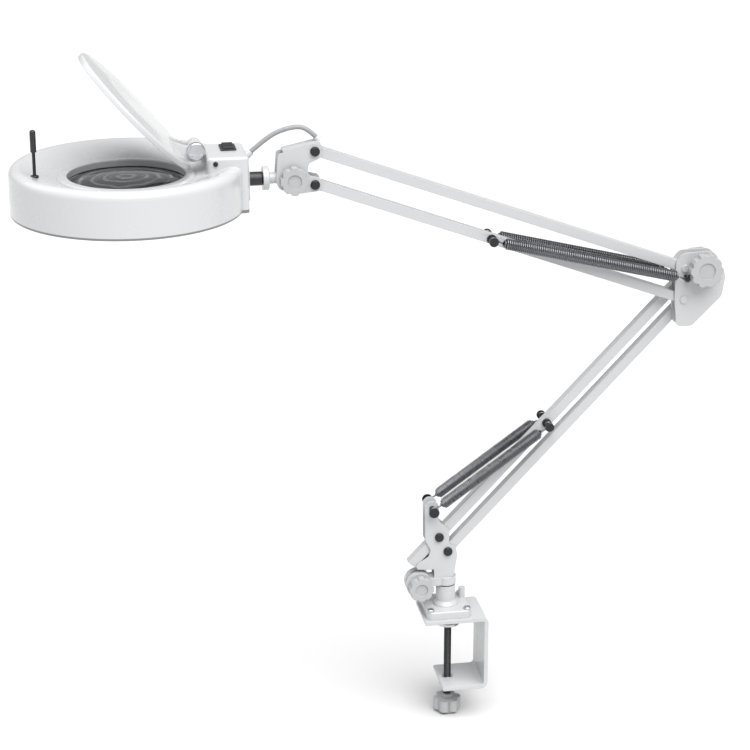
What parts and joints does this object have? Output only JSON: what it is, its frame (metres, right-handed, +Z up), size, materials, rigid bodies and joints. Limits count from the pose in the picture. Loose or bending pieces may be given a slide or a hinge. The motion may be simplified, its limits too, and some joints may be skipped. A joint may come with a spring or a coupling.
{
  "type": "magnifying lamp",
  "caption": "clamp-on magnifying lamp: ring light around a large lens with a lid, carried on a spring-balanced parallel-bar arm that swivels in a screw clamp",
  "frame": {"origin": "on the underside of the clamp's top jaw, on the axis of the clamp screw", "axes": "+Z up, +X from the head towards the clamp's web, +Y towards the lamp's far side; the arm's planes are parallel to XZ"},
  "size_m": [0.7316, 0.23, 0.7426],
  "materials": {
    "white_metal": "satin white enamel",
    "white_plastic": "gloss white",
    "knob_plastic": "matt off-white",
    "black_steel": "black oxide",
    "bright_steel": "zinc plated",
    "spring_steel": "oiled",
    "black_plastic": "satin black",
    "lens_glass": "polished",
    "tube_glass": "phosphor-coated",
    "cable_grey": "smooth grey",
    "board": "circuit board"
  },
  "bodies": {
    "base": {"clamp_frame": "white_metal", "clamp_nut": "bright_steel", "base_casting": "white_metal", "flange_screws": "bright_steel", "socket_liner": "black_plastic"},
    "pad": {"clamp_pad": "bright_steel"},
    "screw": {"clamp_screw": "black_steel", "clamp_star_knob": "knob_plastic"},
    "shoulder": {"spindle": "bright_steel", "swivel_block": "white_metal", "shoulder_bracket": "white_metal", "shoulder_pivots": "black_steel", "lower_spring_pin": "black_steel"},
    "shoulder_knob": {"base_knob": "knob_plastic"},
    "lower_main": {"lower_main_bar": "white_metal", "lower_spring_anchor": "black_steel", "lower_spring_front": "spring_steel", "lower_spring_rear": "spring_steel"},
    "lower_link": {"lower_link_bar": "white_metal"},
    "elbow": {"elbow_plate_front": "white_metal", "elbow_plate_middle": "white_metal", "elbow_plate_rear": "white_metal", "elbow_spacers": "white_metal", "elbow_pivots": "white_metal", "elbow_spring_pins": "black_steel"},
    "elbow_grip": {"elbow_knob": "knob_plastic"},
    "upper_top": {"upper_top_bar": "white_metal"},
    "upper_bottom": {"upper_bottom_bar": "white_metal", "upper_spring_anchor": "black_steel", "upper_spring_front": "spring_steel", "upper_spring_rear": "spring_steel"},
    "head_yoke": {"yoke": "white_metal", "yoke_gland": "white_plastic", "yoke_pivots": "black_steel", "yoke_washers": "white_metal", "cable_loop_arm": "cable_grey"},
    "tilt_grip": {"tilt_knob": "knob_plastic"},
    "knuckle": {"tilt_knuckle": "white_metal", "roll_bolt": "black_steel"},
    "head": {"head_shell": "white_plastic", "neck_gland": "white_plastic", "neck_screws": "black_steel", "neck_plate": "white_metal", "roll_bush": "black_plastic", "cable_loop_head": "cable_grey", "reflector": "white_plastic", "ring_tube": "tube_glass", "tube_cap": "white_plastic", "tube_socket": "white_plastic", "tube_clips": "bright_steel", "ballast": "board", "lens": "lens_glass", "lens_ring": "white_plastic", "switch_frame": "black_plastic", "lid_hinge_bracket": "white_plastic", "lid_hinge_pin": "bright_steel", "handle_rod": "black_steel", "handle_grip": "black_plastic"},
    "rocker": {"switch_rocker": "black_plastic"},
    "cover": {"lid": "white_plastic"}
  },
  "joints": [
    {"name": "clamp_travel", "type": "slide", "parent": "base", "child": "pad", "axis": [0, 0, 1], "range_m": [-0.057, 0.0085]},
    {"name": "clamp_turn", "type": "hinge", "parent": "pad", "child": "screw", "pos_m": [0, 0, -0.05], "axis": [0, 0, 1], "range_deg": [-16417, 2449]},
    {"name": "shoulder_swivel", "type": "hinge", "parent": "base", "child": "shoulder", "pos_m": [-0.003, 0, 0.03], "axis": [0, 0, 1], "continuous": true},
    {"name": "shoulder_knob_turn", "type": "hinge", "parent": "shoulder", "child": "shoulder_knob", "pos_m": [-0.033, 0, 0.039], "axis": [0, 1, 0], "range_deg": [-90, 45]},
    {"name": "lower_lift", "type": "hinge", "parent": "shoulder", "child": "lower_main", "pos_m": [-0.01188, 0, 0.0934], "axis": [0, -1, 0], "range_deg": [-6, 40], "deforming": ["lower_spring_front", "lower_spring_rear"]},
    {"name": "lower_link_turn", "type": "hinge", "parent": "shoulder", "child": "lower_link", "pos_m": [-0.00238, 0, 0.0764], "axis": [0, -1, 0], "range_deg": [-6, 40]},
    {"name": "elbow_turn", "type": "hinge", "parent": "lower_main", "child": "elbow", "pos_m": [0.261, 0, 0.3845], "axis": [0, -1, 0], "range_deg": [-40, 6]},
    {"name": "elbow_knob_turn", "type": "hinge", "parent": "elbow", "child": "elbow_grip", "pos_m": [0.261, 0, 0.3845], "axis": [0, 1, 0], "range_deg": [-90, 45]},
    {"name": "upper_lift", "type": "hinge", "parent": "elbow", "child": "upper_top", "pos_m": [0.243, -0.0126, 0.3835], "axis": [0, 1, 0], "range_deg": [-20, 45]},
    {"name": "upper_bottom_turn", "type": "hinge", "parent": "elbow", "child": "upper_bottom", "pos_m": [0.243, -0.0126, 0.3495], "axis": [0, 1, 0], "range_deg": [-20, 45], "deforming": ["upper_spring_front", "upper_spring_rear"]},
    {"name": "yoke_turn", "type": "hinge", "parent": "upper_top", "child": "head_yoke", "pos_m": [-0.14415, -0.0126, 0.52441], "axis": [0, 1, 0], "range_deg": [-45, 20]},
    {"name": "tilt_knob_turn", "type": "hinge", "parent": "head_yoke", "child": "tilt_grip", "pos_m": [-0.166, -0.0126, 0.497], "axis": [0, 1, 0], "range_deg": [-90, 45]},
    {"name": "head_tilt", "type": "hinge", "parent": "head_yoke", "child": "knuckle", "pos_m": [-0.166, -0.0126, 0.497], "axis": [0, 1, 0], "range_deg": [-50, 28], "deforming": ["cable_loop_arm"]},
    {"name": "head_roll", "type": "hinge", "parent": "knuckle", "child": "head", "pos_m": [-0.2, -0.0126, 0.497], "axis": [1, 0, 0], "range_deg": [-45, 45], "deforming": ["cable_loop_head"]},
    {"name": "rocker_turn", "type": "hinge", "parent": "head", "child": "rocker", "pos_m": [-0.229, -0.0036, 0.523], "axis": [1, 0, 0], "range_deg": [-16, 0]},
    {"name": "lid_hinge", "type": "hinge", "parent": "head", "child": "cover", "pos_m": [-0.262, -0.0126, 0.53], "axis": [0, 1, 0], "range_deg": [-47.5, 45]}
  ],
  "couplings": [
    {"joint": "clamp_turn", "follows": "clamp_travel", "rad_per_m": 5026.5},
    {"joint": "lower_link_turn", "follows": "lower_lift", "ratio": 1},
    {"joint": "elbow_turn", "follows": "lower_lift", "ratio": -1},
    {"joint": "upper_bottom_turn", "follows": "upper_lift", "ratio": 1},
    {"joint": "yoke_turn", "follows": "upper_lift", "ratio": -1}
  ]
}
